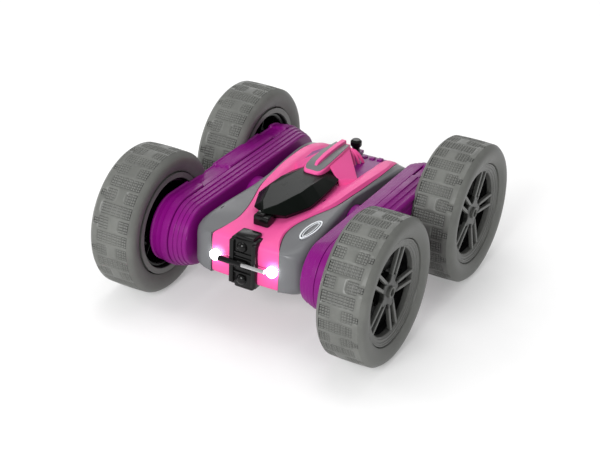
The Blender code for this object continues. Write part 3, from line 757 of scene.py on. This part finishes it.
def scoop_shape():
    """The roof scoop's pink body over the canopy, on two wide pillars that sweep to the rails."""
    sections = ((1.6, 2.2, 20.7, 21.6), (2.2, 3.8, 20.6, 22.0), (3.6, 4.9, 20.5, 22.6), (6, 5.5, 20.4, 23.2),
                (12, 5.7, 20.3, 24.0), (24, 5.3, 20.3, 24.6), (34, 4.2, 20.3, 24.4), (37, 3.6, 20.4, 24.0))
    rings = []
    for y, half, low, high in sections:
        outline = ((-half, low), (half, low), (half, high - 0.5), (half - 0.5, high), (-half + 0.5, high),
                   (-half, high - 0.5))
        rings.append([world(x, y, h) for x, h in outline])
    shell = sheet_of("scoop", rings, ring=True, ends=True)
    parts = [rounded(shell, 0.3, 2, 30)]
    front = (3.4, 12.0, 23.2), (5.2, 11.5, 22.9), (11.2, 10.0, 17.0), (12.2, 10.0, 13.4)
    rear = (2.4, 37.0, 23.4), (3.6, 35.6, 22.8), (17.6, 18.8, 15.4), (18.8, 18.4, 13.4)
    for side in (1, -1):
        rows = []
        for start, end in zip(front, rear):
            line = [Vector(start).lerp(end, t) for t in (0, 0.2, 0.4, 0.6, 0.8, 1)]
            rows.append([world(side * p.x, p.y, p.z + 0.5 * math.sin(math.pi * k / 5))
                         for k, p in enumerate(line)])
        plate = modified(sheet_of("pillar", rows), "SOLIDIFY", thickness=1.1 * MM, offset=-0.6)
        parts.append(rounded(plate, 0.35, 2, 40))
    return joined("scoop", *parts)


def canopy_foot_shape():
    """The small latch under the canopy's nose."""
    block = box_of("latch", (-4.2, -46.2, 12.2), (4.2, -40, 18.2), 1.1)
    lip = box_of("latch_lip", (-3.0, -45.6, 17.6), (1.4, -41, 19.4), 0.7)
    return joined("latch", block, lip)


def scoop_inlay_shape():
    """The grey plate set into the scoop's top."""
    sections = ((2.8, 2.6, 22.2), (3.8, 4.1, 22.8), (6.4, 5.0, 23.5), (12, 5.3, 24.2), (24, 4.9, 24.8),
                (35, 3.8, 24.6))
    rings = []
    for y, half, h in sections:
        rings.append([world(x, y, z) for x, z in ((-half, h - 1), (half, h - 1), (half, h), (-half, h))])
    return rounded(sheet_of("inlay", rings, ring=True, ends=True), 0.2, 2, 30)


def scoop_rib_shape():
    """The raised rib on the scoop's plate, which widens to the rear."""
    sections = (6.5, 0.6, 23.6), (8.5, 0.9, 25.0), (16, 1.1, 26.0), (28, 1.2, 26.3), (36.5, 1.3, 26.0)
    rings = []
    for y, half, h in sections:
        outline = (-half - 0.3, 22.6), (half + 0.3, 22.6), (half, h), (-half, h)
        rings.append([world(x, y, z) for x, z in outline])
    return rounded(sheet_of("rib", rings, ring=True, ends=True), 0.2, 2, 30)


def deck_shape():
    """The purple rear deck with a spine and six raised vents towards the tail."""
    sections = ((16.8, 18.2, 13.9, 15.2), (36, 18.6, 13.7, 14.9), (44, 19.4, 12.6, 13.7),
                (50, 20.2, 11.4, 12.6), (54.5, 20.4, 10.2, 11.5), (56, 19.8, 9.6, 10.4))
    vent_tops = (36, 15.3), (56, 12.4)
    rings = []
    for y, half, low, high in sections:
        rings.append([world(x, y, h) for x, h in ((-half, low), (half, low), (half, high), (-half, high))])
    parts = [rounded(sheet_of("deck", rings, ring=True, ends=True), 0.25, 2, 30)]
    for side in (1, -1):
        for x, y in ((6.5, 46.5), (10.5, 47.5), (14.5, 48.5)):
            low, high = (side * x - 1.3, y, 11.5), (side * x + 1.3, y + 3.4, at(vent_tops, y))
            parts.append(box_of("vent", low, high, 0.4))
    parts.append(box_of("spine", (-3.0, 40, 12), (3.0, 54.6, 13.9), 0.5))
    return joined("deck", *parts)


def exhaust_shape():
    """Three curved pipes that leave under a pillar and bend down to the deck."""
    pipes = []
    for k in range(3):
        path = [(3.0 + 1.3 * k, 36.4 + 0.2 * k, 22.4 - 0.5 * k),
                (6.2 + 1.4 * k, 35.4 + 1.0 * k, 20.4 - 0.3 * k),
                (8.2 + 0.8 * k, 33.6 + 3.2 * k, 14.3)]
        bpy.ops.object.select_all(action="DESELECT")
        bpy.ops.curve.primitive_bezier_curve_add(location=(0, 0, 0))
        curve = bpy.context.object
        curve.data.splines.clear()
        spline = curve.data.splines.new("NURBS")
        spline.points.add(len(path) - 1)
        for point, place in zip(spline.points, path):
            point.co = (*world(*place), 1)
        spline.use_endpoint_u = True
        spline.order_u = 3
        curve.data.bevel_depth = 0.8 * MM
        curve.data.bevel_resolution = 4
        curve.data.use_fill_caps = True
        curve.data.resolution_u = 10
        bpy.ops.object.convert(target="MESH")
        pipe = bpy.context.object
        bpy.ops.object.mode_set(mode="EDIT")
        pipes.append(closed(pipe, "pipe", 40))
    return joined("pipes", *pipes)


def emblem_shape():
    """Two plain raised oval rings, one inside the other, on the left panel."""
    rings = []
    middle = world(22.4, -37.2, 13.7)
    for half_width, half_length, band in ((2.9, 10.0, 0.7), (1.6, 8.0, 0.35)):
        obj = added(bpy.ops.mesh.primitive_cylinder_add, vertices=72, radius=MM, depth=0.8 * MM,
                    location=middle)
        bpy.ops.transform.resize(value=(half_width, half_length, 1), center_override=middle)
        pick(obj, lambda place, way: abs(way.z) > 0.9)
        bpy.ops.mesh.inset(thickness=band * MM)
        bpy.ops.mesh.bridge_edge_loops()
        rings.append(rounded(closed(obj, "emblem"), 0.1, 2))
    return joined("emblem", *rings)


def nose_shape():
    """The black nose: a stepped block with two domed bolts, side rails and fins between them."""
    parts = [box_of("block", (-6.9, -61.2, -12.4), (6.9, -54, 12.4), 0.8)]
    for side in (1, -1):
        parts.append(box_of("rail", (side * 6.0 - 1.2, -62.3, -11.4), (side * 6.0 + 1.2, -58, 11.4), 0.5))
        parts.append(box_of("step", (-5.2, -60.6, side * 12.8 - 1.3), (5.2, -52.4, side * 12.8 + 1.3), 1.0))
    for h in (-5.2, -2.7, 2.7, 5.2):
        parts.append(box_of("fin", (-4.8, -61.9, h - 0.4), (4.8, -60, h + 0.4), 0.2))
    for h in (-8.6, 8.6):
        bolt = added(bpy.ops.mesh.primitive_uv_sphere_add, segments=32, ring_count=16, radius=2.7 * MM,
                     location=world(-0.6, -61.2, h))
        bpy.ops.transform.resize(value=(1, 0.8, 1), center_override=world(-0.6, -61.2, h))
        parts.append(closed(bolt, "bolt"))
    parts.append(box_of("clamp", (-2.4, -63.2, -1.9), (2.4, -60, 1.9), 0.5))
    return joined("nose", *parts)


def bar_dark_reflection_shape():
    """A black tube over one half of the bumper bar: a painted dark reflection on that half of the bright bar.
    """
    obj = added(bpy.ops.mesh.primitive_cylinder_add, vertices=32, radius=1.4 * MM, depth=12.6 * MM,
                location=world(-6.2, -62.7, 0), rotation=(0, math.pi / 2, 0))
    return rounded(closed(obj, "bar_dark_reflection"), 0.35, 3)


def slit_shade_shapes():
    """Short black strips of painted shade that stand for the shade in slits: two in the hood beside the
    canopy, one in the right panel.
    """
    slit_shades = [box_of("slit", (x - 0.25, -10.6, 13.4), (x + 0.25, -7.8, 14.9), 0.1) for x in (14.2, -14.2)]
    slit_shades.append(box_of("slit", (-24.9, -41.6, 12.9), (-24.5, -38.6, 13.6), 0.1))
    return joined("slit_shades", *slit_shades)


def make_body():
    """The body's pieces. What sits on the upper side is copied upside down to the lower side."""
    middle = Matrix.Translation((0, 0, MID_Z * MM))
    over = middle @ Matrix.Diagonal((1, 1, -1, 1)) @ middle.inverted()
    mirror = Matrix.Diagonal((-1, 1, 1, 1))

    def pair(shape, words, finish, slot, nodes=("", "")):
        for word, node, matrix in zip(words, nodes, (Matrix(), over)):
            shown(copied(shape, word, matrix), "car_body", finish, slot, *([node] if node else []))
        bpy.data.objects.remove(shape)

    pair(cover_shape(), ("upper_cover_fine", "lower_cover_fine"), PINK, "pink_plastic",
         ("upper_cover", "lower_cover"))
    pair(canopy_shape(), ("upper_canopy_fine", "lower_canopy_fine"), CANOPY, "smoked_plastic",
         ("upper_canopy", "lower_canopy"))
    pair(canopy_foot_shape(), ("upper_canopy_latch", "lower_canopy_latch"), BLACK, "black_plastic")
    pair(scoop_shape(), ("upper_scoop_fine", "lower_scoop_fine"), PINK, "pink_plastic",
         ("upper_scoop", "lower_scoop"))
    pair(scoop_inlay_shape(), ("upper_scoop_inlay", "lower_scoop_inlay"), GREY, "grey_plastic")
    pair(scoop_rib_shape(), ("upper_scoop_rib", "lower_scoop_rib"), PINK, "pink_plastic")
    pair(deck_shape(), ("upper_deck_fine", "battery_hatch_fine"), PURPLE, "purple_plastic",
         ("upper_rear_deck", "battery_hatch"))
    left_pipes = exhaust_shape()
    right_pipes = copied(left_pipes, "right_pipes", mirror)
    pair(joined("pipes", left_pipes, right_pipes), ("upper_exhaust_pipes", "lower_exhaust_pipes"), PINK,
         "pink_plastic")
    shown(nose_shape(), "car_body", BLACK, "black_plastic", "nose_grille")
    shown(emblem_shape(), "car_body", SILVER, "grey_plastic")
    # Painted reflection: a black tube makes one half of the bright bar look dark.
    shown(bar_dark_reflection_shape(), "car_body", BLACK, "black_plastic")
    # Painted shade: black strips where slits would show only shade.
    pair(slit_shade_shapes(), ("upper_slit_shades", "lower_slit_shades"), BLACK, "black_plastic")
    panel = panel_shape()
    for side, matrix in (("left", Matrix()), ("right", mirror)):
        twin = copied(panel, f"{side}_side_panel_fine", matrix)
        shown(twin, "car_body", GREY, "grey_plastic", f"{side}_side_panel")
    bpy.data.objects.remove(panel)


def make_inner_finishes():
    """The CAD pieces that stay get their finishes."""
    by_name = {"circuit_board": BOARD, "battery_pack": WRAP, "bumper_bar": BRIGHT, "left_headlight": LAMP,
               "right_headlight": LAMP}
    for name, node in frame["nodes"].items():
        if name.endswith("_gear"):
            finish = ACETAL
        elif name.endswith(("_bush", "_pinion")):
            finish = BRASS
        elif name.endswith(("_axle", "_motor", "_screw")):
            finish = STEEL
        else:
            finish = by_name.get(name, BLACK)
        node.data.materials.clear()
        node.data.materials.append(finish)


# Studio -------------------------------------------------------------------------------------------

def area_light(name, place, aim, size, power):
    light = bpy.data.lights.new(name, "AREA")
    light.shape, light.size, light.energy = "DISK", size, power
    obj = bpy.data.objects.new(name, light)
    obj.location = place
    obj.rotation_euler = (Vector(aim) - Vector(place)).to_track_quat("-Z", "Y").to_euler()
    bpy.context.scene.collection.objects.link(obj)


def make_studio():
    """A pale paper floor with a painted shadow round the car, where it glows less than further out, a white
    world and four round lights.
    """
    floor = added(bpy.ops.mesh.primitive_plane_add, size=6, location=(0, 0, 0))
    closed(floor, "studio_floor")
    paper = Finish("floor paper")
    grain = paper.noise(40, 3)
    tone = paper.mix(grain, (0.56, 0.56, 0.56), (0.6, 0.6, 0.6))
    x, y = paper.axis("X") * 1000, paper.axis("Y") * 1000
    # Painted shadow: the floor's glow drops near the car.
    glow = paper.mix((x * x + y * y).root().between(70, 170), (0.62, 0.62, 0.62), (1.0, 1.0, 1.0))
    floor.data.materials.append(paper.set(Base_Color=tone, Roughness=grain * 0.1 + 0.8, Emission_Color=glow,
                                          Emission_Strength=0.45, Specular_IOR_Level=0.2))
    scene = bpy.context.scene
    scene.world = bpy.data.worlds.new("studio")
    scene.world.use_nodes = True
    sky = scene.world.node_tree.nodes["Background"]
    sky.inputs["Color"].default_value = (1, 1, 1, 1)
    sky.inputs["Strength"].default_value = 0.5
    area_light("overhead", (-0.1, 0.15, 0.9), (0, 0, 0.03), 0.6, 2.2)
    area_light("front_fill", (0.05, -1.0, 0.55), (0, 0, 0.03), 0.5, 11.0)
    area_light("back_box", (-0.5, 1.0, 0.5), (0, 0, 0.05), 0.7, 2.0)
    area_light("left_fill", (-0.8, -0.3, 0.45), (0, 0, 0.03), 0.3, 1.3)
    scene.view_settings.view_transform = "Standard"


def make_camera():
    """The camera's place, aim, small roll and lens."""
    azimuth, elevation, roll = (math.radians(a) for a in (28.36, 28.13, 2.47))
    distance = 0.762
    level = Vector((math.sin(azimuth), -math.cos(azimuth), 0))
    back = level * math.cos(elevation) + Vector((0, 0, math.sin(elevation)))
    right = Vector((math.cos(azimuth), math.sin(azimuth), 0))
    up = back.cross(right)
    aim = Vector((0, 0, MID_Z)) * MM - right * 3.25 * MM - up * 6.3 * MM
    turn = Matrix((right * math.cos(roll) + up * math.sin(roll),
                   up * math.cos(roll) - right * math.sin(roll), back))
    camera = bpy.data.objects.new("camera", bpy.data.cameras.new("camera"))
    camera.data.lens, camera.data.sensor_width = 91.82, 36
    camera.matrix_world = Matrix.Translation(aim + back * distance) @ turn.transposed().to_4x4()
    bpy.context.scene.collection.objects.link(camera)
    bpy.context.scene.camera = camera


make_studio()
make_camera()
make_inner_finishes()
make_wheels()
make_arms()
make_body()
